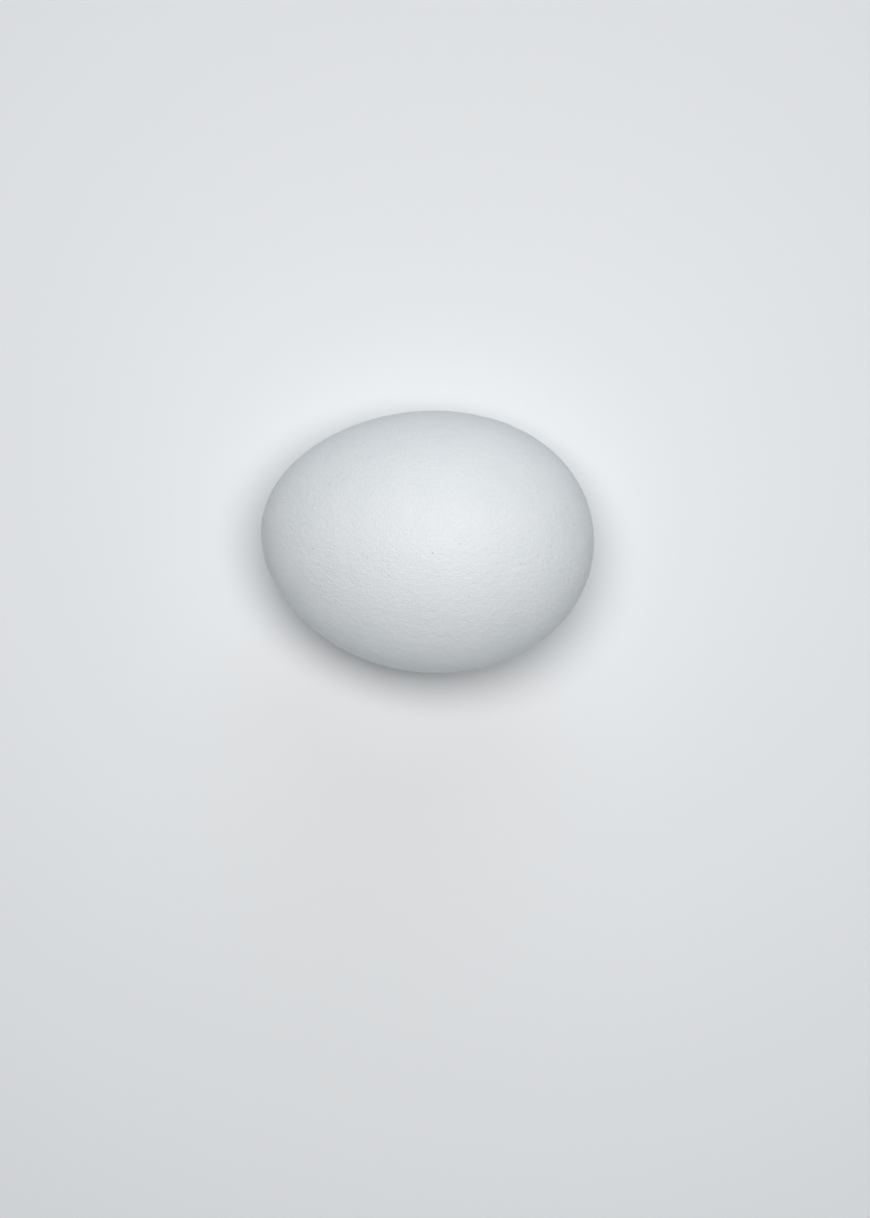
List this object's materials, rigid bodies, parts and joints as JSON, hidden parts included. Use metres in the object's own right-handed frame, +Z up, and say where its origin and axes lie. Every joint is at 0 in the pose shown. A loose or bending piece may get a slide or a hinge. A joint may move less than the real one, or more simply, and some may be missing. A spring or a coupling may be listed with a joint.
{
  "type": "chicken egg",
  "caption": "Whole white hen's egg in its shell, lying on its side, blunter at one end than at the other, with a small flat spot underneath to rest on.",
  "frame": {"origin": "middle of the small flat spot that the egg rests on, right under its centre of mass", "axes": "+X along the egg towards its blunt end, +Z up, +Y to its left seen from the pointed end; the egg leans about 3 degrees, pointed end lower"},
  "size_m": [0.057, 0.0448, 0.0447],
  "materials": {
    "eggshell": "matt, slightly silky, with fine pores"
  },
  "bodies": {
    "root": {"egg": "eggshell"}
  },
  "joints": []
}
